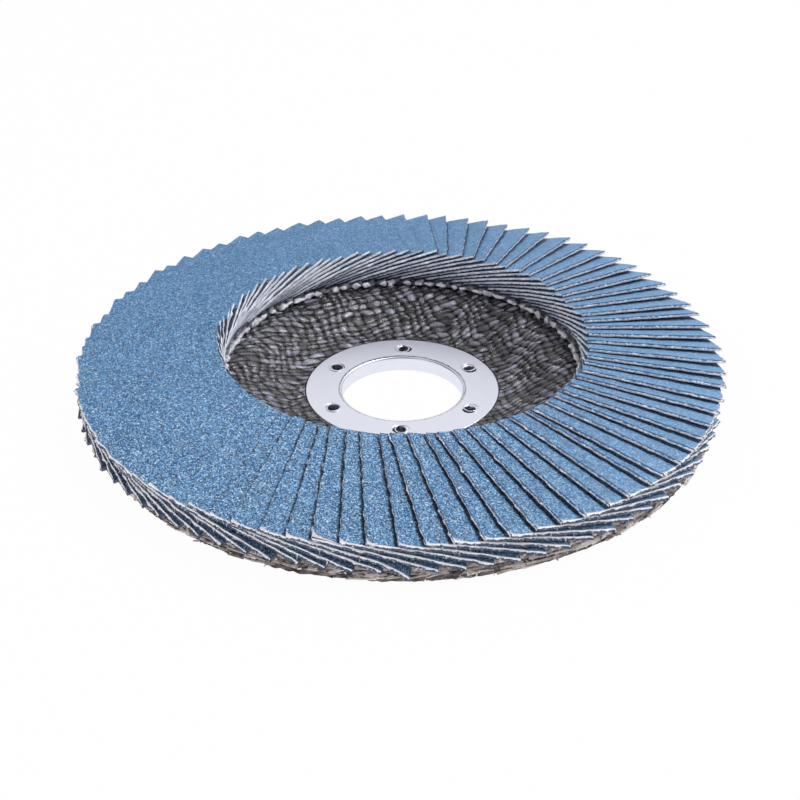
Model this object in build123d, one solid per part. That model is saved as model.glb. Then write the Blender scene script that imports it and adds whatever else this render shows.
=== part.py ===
from build123d import *
import os
from math import asin, cos, degrees, hypot, pi, radians, sin, sqrt, tan

# A conical flap disc for an angle grinder, 115 mm across with a 22.23 mm arbor bore.
# It lies with its abrasive side up: Z is the arbor axis, and the origin is the centre
# of the bore in the hub's back face, which the grinder's flange bears on.
# From the back to the front it is a drawn steel sleeve, a dished plate of resin-bonded
# glass mesh, a steel washer pressed over the sleeve's front end, a bed of adhesive and a
# ring of overlapping abrasive-cloth flaps.  All sizes are in millimetres.

# --- the disc -------------------------------------------------------------------------
disc_diameter = 116.0        # over the outer corners of the flaps' leading sides
bore_diameter = 22.23
hub_height = 3.0             # from the back face to the washer's front face

# --- the steel sleeve, with its back flange ----------------------------------------------
sleeve_wall = 0.4
sleeve_depth = 0.1           # of the sleeve's front end below the washer's face
back_flange_diameter = 32.0
back_flange_thickness = 0.5
bore_edge_radius = 0.25      # at the back end of the bore
bore_mouth_radius = 0.3      # at its front end

# --- the steel washer -------------------------------------------------------------------
washer_diameter = 35.5
washer_thickness = 0.6
washer_edge_radius = 0.2
washer_stand = 0.2           # of the washer's front above the plate round it
barb_count = 6               # pierced holes, whose drawn edges bite into the plate
barb_circle_diameter = 28.5
barb_bore_diameter = 2.3
barb_wall = 0.35
barb_depth = 0.55            # of the drawn edge below the washer
barb_entry_radius = 0.25
barb_start_angle = 27.75     # of the first hole, in degrees from X towards Y

# --- the backing plate ------------------------------------------------------------------
plate_setback = 1.0          # of the plate's rim from the flaps' outer corners
plate_thickness = 2.6        # of the conical rim, measured upright
hub_thickness = 2.5          # of the flat centre
hub_flat_margin = 2.75       # of the flat centre beyond the washer, to where the dish rises
ridge_radius = 30.0          # where the dish meets the conical rim
ridge_height = 7.6           # of the rim's cone at that radius, above the back face
rim_slope = 8.2              # degrees down towards the rim
dish_corner_radius = 3.0
rim_edge_radius = 0.4

# --- the adhesive bed -------------------------------------------------------------------
bed_inner_diameter = 65.0
bed_thickness = 0.4
bed_setback = 0.5            # of the bed's outer edge from the plate's rim
ramp_root = 0.2              # of each ramp in the bed below its face

# --- the flaps --------------------------------------------------------------------------
flap_count = 82
flap_length = 25.0           # along the leading side, from the rim inwards
flap_width = 20.0            # round the disc, from the leading side to the glued side
flap_thickness = 0.7
flap_lead = 8.2              # from the arbor axis to the leading side, seen from above
flap_spread = 5.35           # fall of the outer end, from leading side to glued side
flap_start_angle = 1.0       # of the first flap, in degrees from X towards Y
flaps_per_node = 2

# --- clearances -------------------------------------------------------------------------
metal_gap = 0.05             # between the sleeve, the washer and the plate, sideways
flap_gap = 0.03              # between one flap and the next, where they lie closest
glue_gap = 0.04              # between a flap and the bed

# --- worked out from the sizes above ----------------------------------------------------
bore_radius = bore_diameter / 2
sleeve_radius = bore_radius + sleeve_wall
washer_radius = washer_diameter / 2
washer_back = hub_height - washer_thickness
hub_flat_radius = washer_radius + hub_flat_margin
plate_radius = disc_diameter / 2 - plate_setback
plate_front = hub_height - washer_stand
plate_back = plate_front - hub_thickness
bed_inner_radius = bed_inner_diameter / 2
bed_outer_radius = plate_radius - bed_setback
rim_fall = tan(radians(rim_slope))
tip_radius = disc_diameter / 2
flap_pitch = 2 * pi / flap_count


def rim_front(radius):
    """Height of the plate's conical rim, on its flap side."""
    return ridge_height - (radius - ridge_radius) * rim_fall


def bed_front(radius):
    """Height of the adhesive bed's cone, below its ramps."""
    return rim_front(radius) + bed_thickness


# ----------------------------------------------------------------------------------------
# Where a flap lies.  It is set out for the flap whose leading side runs along X at
# y = -flap_lead, and its glued side is at the far end, towards +Y.
# ----------------------------------------------------------------------------------------
flap_trail = sqrt(flap_width**2 - flap_spread**2) - flap_lead
lead_outer_x = sqrt(tip_radius**2 - flap_lead**2)
flap_run = sqrt(flap_length**2 - (flap_length * rim_fall) ** 2)
lead_inner_x = lead_outer_x - flap_run
flap_skew = flap_spread * rim_fall * flap_length / flap_run


def side_x(across, outer):
    """Distance along X of the flap's inner or outer end, that far across its width."""
    start = lead_outer_x if outer else lead_inner_x
    return start - flap_skew * (across + flap_lead) / (flap_lead + flap_trail)


def lead_angle(radius):
    return -asin(flap_lead / radius)


def trail_angle(radius):
    return asin(flap_trail / radius)


# The flaps lie on each other at their inner ends, where the pitch is smallest.
nest_radius = side_x(0, outer=False)
nest_step = flap_thickness + flap_gap
nest_slope = nest_step * sqrt(1 + rim_fall**2) / sqrt((nest_radius * flap_pitch) ** 2 - nest_step**2)
nest_rise = nest_slope * nest_radius
outer_rise = flap_spread / (trail_angle(tip_radius) - lead_angle(tip_radius))


def rise(radius):
    """Climb of a flap for each radian towards its leading side."""
    share = (radius - nest_radius) / (tip_radius - nest_radius)
    return nest_rise + share * (outer_rise - nest_rise)


def upright(thickness, radius):
    """A flap's thickness measured upright, on its slope at that radius."""
    return thickness * sqrt(1 + (rise(radius) / radius) ** 2 + rim_fall**2)


def flap_back(x, y):
    """Height of a flap's cloth side at that place."""
    radius = hypot(x, y)
    turn = trail_angle(radius) - asin(y / radius)
    return bed_front(radius) + glue_gap + rise(radius) * turn


def flap_end(outer, points=5):
    """The face across a flap's inner or outer end."""
    cloth_side, grit_side = [], []
    for i in range(points):
        across = -flap_lead + (flap_lead + flap_trail) * i / (points - 1)
        x = side_x(across, outer)
        z = flap_back(x, across)
        cloth_side.append((x, across, z))
        grit_side.append((x, across, z + upright(flap_thickness, hypot(x, across))))
    edges = [
        Spline(*cloth_side),
        Line(cloth_side[-1], grit_side[-1]),
        Spline(*grit_side),
        Line(grit_side[0], cloth_side[0]),
    ]
    return Face(Wire(edges))


def make_flap():
    """One flap: a sheet of abrasive cloth ruled between its two ends."""
    return loft([flap_end(outer=False), flap_end(outer=True)], ruled=True)


def make_sleeve():
    """Drawn steel sleeve: back flange and bore, with both ends of the bore rounded."""
    sleeve_front = hub_height - sleeve_depth
    flange_radius = back_flange_diameter / 2
    profile = Polyline(
        (bore_radius, 0),
        (flange_radius, 0),
        (flange_radius, back_flange_thickness),
        (sleeve_radius, back_flange_thickness),
        (sleeve_radius, sleeve_front),
        (bore_radius, sleeve_front),
        close=True,
    )
    section = make_face(profile)
    back_corner = section.vertices().sort_by_distance((bore_radius, 0))[0]
    section = fillet(back_corner, bore_edge_radius)
    front_corner = section.vertices().sort_by_distance((bore_radius, sleeve_front))[0]
    section = fillet(front_corner, bore_mouth_radius)
    return revolve(Plane.XZ * section, Axis.Z)


def barb_places():
    return PolarLocations(barb_circle_diameter / 2, barb_count, barb_start_angle)


def make_washer():
    """Flat steel washer round the sleeve, with pierced holes drawn to its back."""
    profile = Polyline(
        (sleeve_radius + metal_gap, washer_back),
        (washer_radius, washer_back),
        (washer_radius, hub_height),
        (sleeve_radius + metal_gap, hub_height),
        close=True,
    )
    section = make_face(profile)
    front_corner = section.vertices().sort_by_distance((washer_radius, hub_height))[0]
    section = fillet(front_corner, washer_edge_radius)
    solid = revolve(Plane.XZ * section, Axis.Z)
    barb_radius = barb_bore_diameter / 2 + barb_wall
    at_back = Pos(0, 0, washer_back - barb_depth)
    grip = barb_depth + barb_wall
    solid += at_back * barb_places() * Cylinder(barb_radius, grip, align=(Align.CENTER, Align.CENTER, Align.MIN))
    through = barb_depth + washer_thickness
    solid -= at_back * barb_places() * Cylinder(
        barb_bore_diameter / 2, through, align=(Align.CENTER, Align.CENTER, Align.MIN)
    )
    entries = [
        e
        for e in solid.edges().filter_by(GeomType.CIRCLE)
        if abs(e.radius - barb_bore_diameter / 2) < 1e-6 and e.center().Z > hub_height - 1e-6
    ]
    return fillet(entries, barb_entry_radius)


def make_plate():
    """Dished plate of resin-bonded glass mesh, moulded round the sleeve and the washer."""
    rim_back = rim_front(plate_radius) - plate_thickness
    dish_slope = (ridge_height - plate_front) / (ridge_radius - hub_flat_radius)
    back_ridge_height = ridge_height - plate_thickness
    back_flat_radius = ridge_radius - (back_ridge_height - plate_back) / dish_slope
    profile = Polyline(
        (sleeve_radius + metal_gap, back_flange_thickness),
        (back_flange_diameter / 2 + metal_gap, back_flange_thickness),
        (back_flange_diameter / 2 + metal_gap, plate_back),
        (back_flat_radius, plate_back),
        (ridge_radius, back_ridge_height),
        (plate_radius, rim_back),
        (plate_radius, rim_front(plate_radius)),
        (ridge_radius, ridge_height),
        (hub_flat_radius, plate_front),
        (washer_radius + metal_gap, plate_front),
        (washer_radius + metal_gap, washer_back),
        (sleeve_radius + metal_gap, washer_back),
        close=True,
    )
    section = make_face(profile)
    corners = section.vertices()
    dish = [v for v in corners if hub_flat_radius - 1e-6 <= v.X <= ridge_radius + 1e-6]
    section = fillet(dish, dish_corner_radius)
    rim = [v for v in section.vertices() if v.X > plate_radius - 1e-6]
    section = fillet(rim, rim_edge_radius)
    solid = revolve(Plane.XZ * section, Axis.Z)
    pocket_radius = barb_bore_diameter / 2 + barb_wall + metal_gap
    pocket_depth = barb_depth + metal_gap
    pockets = Pos(0, 0, washer_back - pocket_depth) * barb_places() * Cylinder(
        pocket_radius, pocket_depth, align=(Align.CENTER, Align.CENTER, Align.MIN)
    )
    return solid - pockets


def ramp_end(radius):
    """Upright triangle across one ramp of the bed, under the glued side of a flap."""
    foot_y = flap_trail
    foot_x = sqrt(radius**2 - foot_y**2)
    turn = flap_pitch - glue_gap / radius
    head_x = foot_x * cos(turn) + foot_y * sin(turn)
    head_y = foot_y * cos(turn) - foot_x * sin(turn)
    base = bed_front(radius) - ramp_root
    head = bed_front(radius) + rise(radius) * turn
    corners = [
        (foot_x, foot_y, base),
        (head_x, head_y, base),
        (head_x, head_y, head),
        (foot_x, foot_y, bed_front(radius)),
    ]
    return Face(Wire.make_polygon(corners))


def make_bed():
    """Cured adhesive: a cone on the plate, with one ramp under each flap."""
    profile = Polyline(
        (bed_inner_radius, rim_front(bed_inner_radius)),
        (bed_outer_radius, rim_front(bed_outer_radius)),
        (bed_outer_radius, bed_front(bed_outer_radius)),
        (bed_inner_radius, bed_front(bed_inner_radius)),
        close=True,
    )
    cone = revolve(make_face(Plane.XZ * profile), Axis.Z)
    ramp = loft([ramp_end(bed_inner_radius), ramp_end(bed_outer_radius)], ruled=True)
    ramps = [ramp.rotate(Axis.Z, flap_angle(i)) for i in range(flap_count)]
    return cone.fuse(*ramps)


def flap_angle(index):
    return flap_start_angle + degrees(flap_pitch) * index


def flap_nodes():
    """Neighbouring flaps, a few to a node: each flap is a solid of its own."""
    flap = make_flap()
    nodes = {}
    for first in range(0, flap_count, flaps_per_node):
        members = range(first, min(first + flaps_per_node, flap_count))
        number = first // flaps_per_node + 1
        nodes[f"flaps_{number:02d}"] = Compound(children=[flap.rotate(Axis.Z, flap_angle(i)) for i in members])
    return nodes


def make_all():
    parts = {
        "hub_sleeve": make_sleeve(),
        "hub_washer": make_washer(),
        "backing_plate": make_plate(),
        "adhesive_bed": make_bed(),
    }
    parts.update(flap_nodes())
    return parts


os.makedirs("parts", exist_ok=True)
for name, shape in make_all().items():
    export_step(shape, f"parts/{name}.step")
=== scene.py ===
import bpy
import math
import numpy as np
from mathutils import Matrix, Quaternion, Vector


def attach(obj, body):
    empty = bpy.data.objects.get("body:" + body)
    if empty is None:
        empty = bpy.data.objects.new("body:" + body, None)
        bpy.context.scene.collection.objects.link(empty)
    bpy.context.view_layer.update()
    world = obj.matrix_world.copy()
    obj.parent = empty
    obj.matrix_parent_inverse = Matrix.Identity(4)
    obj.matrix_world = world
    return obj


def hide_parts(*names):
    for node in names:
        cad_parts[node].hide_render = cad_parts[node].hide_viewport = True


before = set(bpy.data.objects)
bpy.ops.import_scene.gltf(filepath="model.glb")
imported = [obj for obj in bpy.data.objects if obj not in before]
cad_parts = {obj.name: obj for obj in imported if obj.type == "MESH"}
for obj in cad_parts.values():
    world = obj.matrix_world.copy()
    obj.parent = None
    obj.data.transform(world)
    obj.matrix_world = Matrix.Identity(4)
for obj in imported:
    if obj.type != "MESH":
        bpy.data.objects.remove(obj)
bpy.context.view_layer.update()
print("frame: CAD model loaded")

mm = 0.001


# ---- small helpers ----

def linear(hexColour):
    channels = [int(hexColour[i:i + 2], 16) / 255 for i in (1, 3, 5)]
    return [c / 12.92 if c <= 0.04045 else ((c + 0.055) / 1.055) ** 2.4 for c in channels] + [1.0]


def addNode(tree, kind, values=None, stops=()):
    # lower-case keys are the node's own properties, the others are its sockets, filled by a plain value,
    # a socket or a node, which gives its first output; stops fill a colour ramp
    node = tree.nodes.new("ShaderNode" + kind)
    for key, value in (values or {}).items():
        if isinstance(value, bpy.types.Node):
            value = value.outputs[0]
        if str(key)[0].islower():
            setattr(node, key, value)
        elif isinstance(value, bpy.types.NodeSocket):
            tree.links.new(value, node.inputs[key])
        else:
            node.inputs[key].default_value = value
    if stops:
        ramp = node.color_ramp.elements
        while len(ramp) < len(stops):
            ramp.new(0.5)
        for element, (place, colour) in zip(ramp, stops):
            element.position = place
            element.color = linear(colour)
    return node


def startMaterial(name):
    material = bpy.data.materials.new(name)
    material.use_nodes = True
    tree = material.node_tree
    tree.nodes.clear()
    place = addNode(tree, "TexCoord")
    inMm = addNode(tree, "Mapping", {"Vector": place.outputs["Object"], "Scale": (1000, 1000, 1000)})
    return material, tree, inMm  # object coordinates in millimetres


def endMaterial(material, values, height=None, strength=0.0, depth=0.0):
    # the surface, with `height` as its relief, `depth` in mm
    tree = material.node_tree
    shader = addNode(tree, "BsdfPrincipled", values)
    if height is not None:
        relief = {"Height": height, "Strength": strength, "Distance": depth * mm}
        tree.links.new(addNode(tree, "Bump", relief).outputs[0], shader.inputs["Normal"])
    addNode(tree, "OutputMaterial", {"Surface": shader})
    return material


def makePiece(name, points, faces, materials, faceMaterial=None, attributes=None, smoothAngle=35):
    # points in mm; faces is a list of index arrays, each with 3 or 4 columns
    mesh = bpy.data.meshes.new(name)
    mesh.vertices.add(len(points))
    mesh.vertices.foreach_set("co", (np.asarray(points, float) * mm).ravel().astype(np.float32))
    sizes = np.concatenate([np.full(len(f), f.shape[1]) for f in faces])
    corners = np.concatenate([f.ravel() for f in faces])
    mesh.loops.add(len(corners))
    mesh.loops.foreach_set("vertex_index", corners.astype(np.int32))
    mesh.polygons.add(len(sizes))
    mesh.polygons.foreach_set("loop_start", (np.cumsum(sizes) - sizes).astype(np.int32))
    for material in materials:
        mesh.materials.append(material)
    if faceMaterial is not None:
        mesh.polygons.foreach_set("material_index", np.asarray(faceMaterial, np.int32))
    for key, values in (attributes or {}).items():
        layer = mesh.attributes.new(key, "FLOAT", "POINT")
        layer.data.foreach_set("value", np.asarray(values, np.float32))
    mesh.polygons.foreach_set("use_smooth", np.ones(len(sizes), bool))
    mesh.update(calc_edges=True)
    mesh.validate()
    mesh.set_sharp_from_angle(angle=math.radians(smoothAngle))
    piece = bpy.data.objects.new(name, mesh)
    bpy.context.scene.collection.objects.link(piece)
    return piece


def joinParts(parts):
    # parts are (points, quads, triangles, material per quad, material per triangle, then values per point)
    starts = np.cumsum([0] + [len(part[0]) for part in parts])
    columns = [list(column) for column in zip(*parts)]
    for k in (1, 2):
        columns[k] = [faces + start for faces, start in zip(columns[k], starts)]
    return tuple(np.concatenate(column) for column in columns)


noTriangles = np.zeros((0, 3), int)
farAway = 9.0  # mm, a distance at which nothing is drawn


def flapPart(points, quads, triangles, kind, layer=0.0, rim=0.0, toNext=farAway, beneath=0.0):
    # kind is the material, one or one a quad; the others are one value or one a point
    values = [np.broadcast_to(value, len(points)) for value in (layer, rim, toNext, beneath)]
    quadKinds, triangleKinds = np.broadcast_to(kind, len(quads)), np.full(len(triangles), np.max(kind))
    return (points, quads, triangles, quadKinds, triangleKinds, *values)


def gridQuads(rows, columns, closed=False, start=0, flip=False):
    # quads over a rows x columns grid of points; closed joins the last column to the first
    i, j = np.meshgrid(np.arange(rows - 1), np.arange(columns if closed else columns - 1), indexing="ij")
    k = (j + 1) % columns
    quads = np.stack([i * columns + j, i * columns + k, (i + 1) * columns + k, (i + 1) * columns + j], -1)
    quads = quads.reshape(-1, 4)
    return (quads[:, ::-1] if flip else quads) + start


def fade(distance, reach):
    # 1 at no distance, falling to 0 at `reach`
    return np.clip(1 - distance / reach, 0, 1)


def softNoise(random, x, y, size, seeds=9):
    # a smooth bumpy field, about -1 to 1, with hills about `size` apart
    total = np.zeros(np.broadcast(x, y).shape)
    for _ in range(seeds):
        turn, phase = random.uniform(0, 2 * math.pi, 2)
        pitch = size * random.uniform(0.75, 1.6)
        total = total + np.sin((x * math.cos(turn) + y * math.sin(turn)) * 2 * math.pi / pitch + phase)
    return total / math.sqrt(seeds)


def fibres(start, direction, bend, length, radius, steps=3, taper=0.35):
    # thin three-sided threads: each leaves `start` along `direction` and curves by `bend`
    n = len(start)
    direction = direction / np.linalg.norm(direction, axis=1, keepdims=True)
    side = np.cross(direction, np.tile([0.3, 0.2, 1.0], (n, 1)))
    side /= np.linalg.norm(side, axis=1, keepdims=True) + 1e-9
    other = np.cross(direction, side)
    t = np.linspace(0, 1, steps)[None, :, None]
    middle = start[:, None] + direction[:, None] * length[:, None, None] * t + bend[:, None] * t ** 2
    width = radius[:, None, None] * (1 - (1 - taper) * t)
    turns = np.arange(3) * 2 * math.pi / 3
    ring = (np.cos(turns)[None, :, None] * side[:, None] + np.sin(turns)[None, :, None] * other[:, None])
    points = middle[:, :, None] + ring[:, None] * width[:, :, None]
    base = np.arange(n)[:, None] * steps * 3
    strip = gridQuads(steps, 3, closed=True)
    quads = (strip[None] + base[:, :, None]).reshape(-1, 4)
    ends = np.array([[0, 2, 1], [steps * 3 - 3, steps * 3 - 2, steps * 3 - 1]])
    caps = (ends[None] + base[:, :, None]).reshape(-1, 3)
    return points.reshape(-1, 3), quads, caps


# ---- where the flaps and the backing plate lie, in mm ----

disc = {
    "tipRadius": 58.0,       # outer corner of a flap's free side
    "hubTop": 3.0,           # front face of the steel washer
    "ridgeRadius": 30.0,     # where the dish meets the conical rim
    "ridgeHeight": 7.6,
    "rimSlope": 8.2,         # degrees, down towards the rim
    "bedThickness": 0.4,
}
rimFall = math.tan(math.radians(disc["rimSlope"]))


def rimFront(radius):
    return disc["ridgeHeight"] - (radius - disc["ridgeRadius"]) * rimFall


def bedFront(radius):
    return rimFront(radius) + disc["bedThickness"]


# ---- materials of the abrasive cloth ----

grit = {
    "grain": 0.2,            # mm, blue zirconia grains
    "dust": 0.15,            # mm, pits and finer grain between them
    "pit": "#0F2440",
    "deep": "#3C6DA0",
    "body": "#5A92C6",
    "pale": "#84B8E6",
    "bright": "#ABD5F5",
    "glint": "#DCEFFC",
    "clogged": "#5C8FC0",    # where fine dust fills the grit and evens its colour
    "rubbedAndSheen": "#8FBBE6",     # painted sheen: paler grit on the right side, where the light falls
    "crevice": "#13213A",    # painted shade in the crevice under the next flap's edge
    "shadeBeneath": "#7A6468",     # painted shade on the grit left bare beneath the next flap
    "torn": "#E4DCE4",
    "roughness": 0.62,
}


def makeGritMaterial():
    # zirconia alumina grain in blue resin: matt, speckled, each grain a facet; the palest are painted
    # glints
    material, tree, place = startMaterial("blueZirconiaGrit")
    grains = addNode(tree, "TexVoronoi", {"Vector": place, "Scale": 1 / grit["grain"]})
    dust = addNode(tree, "TexVoronoi", {"Vector": place, "Scale": 1 / grit["dust"]})
    tone = addNode(tree, "SeparateColor", {"Color": grains.outputs["Color"]})
    speck = addNode(tree, "SeparateColor", {"Color": dust.outputs["Color"]})
    grainTone = addNode(tree, "ValToRGB", {"Fac": tone},
                        stops=[(0.0, grit["deep"]), (0.4, grit["body"]), (0.72, grit["pale"]),
                               (0.88, grit["bright"]), (0.97, grit["glint"])])
    # the darkest specks are painted shade in the pits between grains
    pitted = addNode(tree, "MapRange", {"Value": speck, "From Min": 0.26, "From Max": 0.38, "To Min": 0.9,
                                        "To Max": 0.0})
    speckle = addNode(tree, "MixRGB", {"Fac": pitted, "Color1": grainTone.outputs["Color"],
                                       "Color2": linear(grit["pit"])})
    broad = addNode(tree, "TexNoise", {"Vector": place, "Scale": 0.12, "Detail": 2.0})
    drift = addNode(tree, "MapRange", {"Value": broad.outputs["Fac"], "From Min": 0.3, "From Max": 0.7,
                                       "To Min": 0.95, "To Max": 1.05})
    # one side of the disc is dustier than the other
    where = addNode(tree, "SeparateXYZ", {"Vector": place})
    dusty = addNode(tree, "MapRange", {"Value": where.outputs["Y"], "From Min": -40.0, "From Max": 50.0,
                                       "To Min": 0.0, "To Max": 0.5})
    even = addNode(tree, "MixRGB", {"Fac": dusty, "Color1": speckle, "Color2": linear(grit["clogged"])})
    # painted sheen: the grit is painted paler towards the right, the side the key light falls on
    rubbedAndSheen = addNode(tree, "MapRange", {"Value": where.outputs["X"], "From Min": 15.0, "From Max": 52.0,
                                        "To Min": 0.0, "To Max": 0.45})
    lighter = addNode(tree, "MixRGB", {"Fac": rubbedAndSheen, "Color1": even, "Color2": linear(grit["rubbedAndSheen"])})
    shaded = addNode(tree, "VectorMath", {"operation": "SCALE", 0: lighter, "Scale": drift})
    chips = addNode(tree, "TexNoise", {"Vector": place, "Scale": 2.6, "Detail": 3.0, "Roughness": 0.75})
    # the grit beneath the next flap is darkened with painted shade
    beneath = addNode(tree, "Attribute", {"attribute_name": "beneath"})
    shadeBeneath = addNode(tree, "MixRGB", {"blend_type": "MULTIPLY", "Fac": beneath.outputs["Fac"],
                                      "Color1": shaded, "Color2": linear(grit["shadeBeneath"])})
    # a ragged black line of painted shade runs in the crevice where the next flap lies on this one
    toNext = addNode(tree, "Attribute", {"attribute_name": "toNext"})
    line = addNode(tree, "Math", {"operation": "MULTIPLY_ADD", 0: chips.outputs["Fac"], 1: 1.1,
                                  2: toNext.outputs["Fac"]})
    creviceShade = addNode(tree, "MapRange", {"Value": line, "From Min": 0.7, "From Max": 0.8, "To Min": 0.95,
                                        "To Max": 0.0})
    lined = addNode(tree, "MixRGB", {"Fac": creviceShade, "Color1": shadeBeneath, "Color2": linear(grit["crevice"])})
    # at the cut ends the grit is chipped away and the pale cloth shows
    rim = addNode(tree, "Attribute", {"attribute_name": "rim"})
    bare = addNode(tree, "Math", {"operation": "ADD", 0: rim.outputs["Fac"], 1: chips.outputs["Fac"]})
    worn = addNode(tree, "MapRange", {"Value": bare, "From Min": 1.34, "From Max": 1.5, "To Min": 0.0,
                                      "To Max": 0.9})
    colour = addNode(tree, "MixRGB", {"Fac": worn, "Color1": lined, "Color2": linear(grit["torn"])})
    height = addNode(tree, "Math", {"operation": "SUBTRACT", 0: tone.outputs[1],
                                    1: grains.outputs["Distance"]})
    return endMaterial(material, {"Base Color": colour, "Roughness": grit["roughness"], "IOR": 1.5},
                       height, 0.5, 0.12)


cloth = {
    "yarn": 0.45,            # mm between yarns in the cut edge
    # each cut edge: its yarn and the yarn's shade, the crust under the grit, the resin that soaks the back,
    # where the resin ends and the yarn starts and ends through the thickness, and how ragged that is
    # the resin's dark on the end and inner walls is partly painted shade under the cut edge
    "end": ("#FBFAFC", "#DCDDE8", "#FBFAFC", "#3F4E68", (0.64, 0.72, 0.92), 0.8),     # clean and white
    "side": ("#FBF8FB", "#9EA1B4", "#44709E", "#3C5069", (0.0, 0.01, 0.62), 1.5),     # pinkish with dust
    "inner": ("#EEF3FF", "#9FACC8", "#EEF3FF", "#343C56", (0.5, 0.6, 0.9), 0.6),      # greyed by dust
    "endThread": ("#D5D6DF", "#FAFAFB"),
    "sideThread": ("#6E7079", "#DAD8DC"),
    "back": "#4A5468",
    "backPale": "#5B6579",
}


def makeCutEdgeMaterial(name, edge):
    # cloth cut by a blade: the grit's crust on top, pale frayed yarn, dark resin-soaked weave at the bottom
    cut, shade, crust, coat, (bottom, middle, top), ragged = cloth[edge]
    material, tree, place = startMaterial(name)
    yarn = addNode(tree, "TexNoise", {"Vector": place, "Scale": 1 / cloth["yarn"], "Detail": 4.0,
                                      "Roughness": 0.7})
    pale = addNode(tree, "ValToRGB", {"Fac": yarn.outputs["Fac"]}, stops=[(0.36, shade), (0.52, cut)])
    layer = addNode(tree, "Attribute", {"attribute_name": "layer"})
    torn = addNode(tree, "TexNoise", {"Vector": place, "Scale": 1.9, "Detail": 4.0, "Roughness": 0.65})
    centred = addNode(tree, "Math", {"operation": "SUBTRACT", 0: torn.outputs["Fac"], 1: 0.5})
    line = addNode(tree, "Math", {"operation": "MULTIPLY_ADD", 0: centred, 1: ragged,
                                  2: layer.outputs["Fac"]})
    # from 0 the yarn reaches the bottom
    above = addNode(tree, "ValToRGB", {"Fac": line},
                    stops=[(bottom, "#000000" if bottom else "#FFFFFF"), (middle, "#FFFFFF"),
                           (top, "#FFFFFF"), (top + 0.08, "#000000")])
    # the resin's dark on the lower wall is resin and painted shade under the cut edge
    resin = addNode(tree, "ValToRGB", {"Fac": line}, stops=[(max(middle, 0.02), coat), (top, crust)])
    colour = addNode(tree, "MixRGB", {"Fac": above.outputs["Color"], "Color1": resin.outputs["Color"],
                                      "Color2": pale.outputs["Color"]})
    return endMaterial(material, {"Base Color": colour, "Roughness": 0.85, "IOR": 1.5},
                       yarn.outputs["Fac"], 0.6, 0.1)


def makeClothBackMaterial():
    # back of the cloth: slate filler rubbed into a twill, dull
    material, tree, place = startMaterial("clothBackFiller")
    twill = addNode(tree, "TexWave", {"bands_direction": "DIAGONAL", "Vector": place, "Scale": 0.6,
                                      "Distortion": 1.5, "Detail": 2.0})
    colour = addNode(tree, "MixRGB", {"Fac": twill.outputs["Fac"], "Color1": linear(cloth["back"]),
                                      "Color2": linear(cloth["backPale"])})
    return endMaterial(material, {"Base Color": colour, "Roughness": 0.8, "IOR": 1.5},
                       twill.outputs["Fac"], 0.4, 0.08)


def makeThreadMaterial(name, dull, clean):
    # loose polyester filament at a cut edge, clean at the ends and dusty at the sides
    material, tree, place = startMaterial(name)
    tint = addNode(tree, "TexNoise", {"Vector": place, "Scale": 1.3, "Detail": 1.0})
    colour = addNode(tree, "ValToRGB", {"Fac": tint.outputs["Fac"]}, stops=[(0.38, dull), (0.56, clean)])
    return endMaterial(material, {"Base Color": colour.outputs["Color"], "Roughness": 0.6, "IOR": 1.5})


# ---- the flaps ----

flap = {
    "count": 82,
    "perPiece": 2,
    "length": 25.0,          # along the free side
    "width": 20.0,           # from the free side to the glued side
    "thickness": 0.7,
    "lead": 8.2,             # from the arbor axis to the free side
    "spread": 5.35,          # fall of the outer end from free side to glued side
    "startAngle": 1.0,
    "gap": 0.03,
    "glueGap": 0.04,
    "placeScatter": 0.33,    # mm, how unevenly the free sides are spaced
    "slantScatter": 0.25,    # mm, how far a free side is out of line from end to end
    "endScatter": 0.16,      # mm, how unevenly the ends line up
    "offCentre": 0.4,        # mm, how far the outer ends lie out of centre
    "innerWorn": 0.5,        # mm, how much the inner ends are worn back on the near side
    "puff": 0.02,            # mm, how far the free strip stands up
    "puffScatter": 0.06,
    "droopScatter": 0.12,    # mm, how far the trailing corners hang down
    "raggedness": 0.07,      # mm, waviness of a cut edge
    "clearUnder": 0.08,      # mm, how far the free side's underside is worn away
    "droopingFlap": 59,      # its trailing corner hangs down
    "tornFlap": 60,          # its leading corner is torn down to the cloth
}
flapTrail = math.sqrt(flap["width"] ** 2 - flap["spread"] ** 2) - flap["lead"]
leadOuterX = math.sqrt(disc["tipRadius"] ** 2 - flap["lead"] ** 2)
flapRun = math.sqrt(flap["length"] ** 2 - (flap["length"] * rimFall) ** 2)
leadInnerX = leadOuterX - flapRun
flapSkew = flap["spread"] * rimFall * flap["length"] / flapRun
flapAcross = flap["lead"] + flapTrail
nestRadius = leadInnerX - flapSkew * flap["lead"] / flapAcross
nestStep = flap["thickness"] + flap["gap"]
flapPitch = 2 * math.pi / flap["count"]
nestSpan = math.sqrt((nestRadius * flapPitch) ** 2 - nestStep ** 2)
nestRise = nestRadius * nestStep * math.sqrt(1 + rimFall ** 2) / nestSpan
outerTurn = math.asin(flapTrail / disc["tipRadius"]) + math.asin(flap["lead"] / disc["tipRadius"])
outerRise = flap["spread"] / outerTurn


def flapRise(radius):
    return nestRise + (radius - nestRadius) / (disc["tipRadius"] - nestRadius) * (outerRise - nestRise)


def flapEnd(s, outer):
    # cloth side and grit side of a flap's end, s from 0 at the free side to 1 at the glued side
    y = -flap["lead"] + flapAcross * s
    x = (leadOuterX if outer else leadInnerX) - flapSkew * s
    radius = np.hypot(x, y)
    turn = np.arcsin(flapTrail / radius) - np.arcsin(y / radius)
    low = bedFront(radius) + flap["glueGap"] + flapRise(radius) * turn
    upright = flap["thickness"] * np.sqrt(1 + (flapRise(radius) / radius) ** 2 + rimFall ** 2)
    return np.stack([x, y, low], -1), np.stack([x, y, low + upright], -1)


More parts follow.
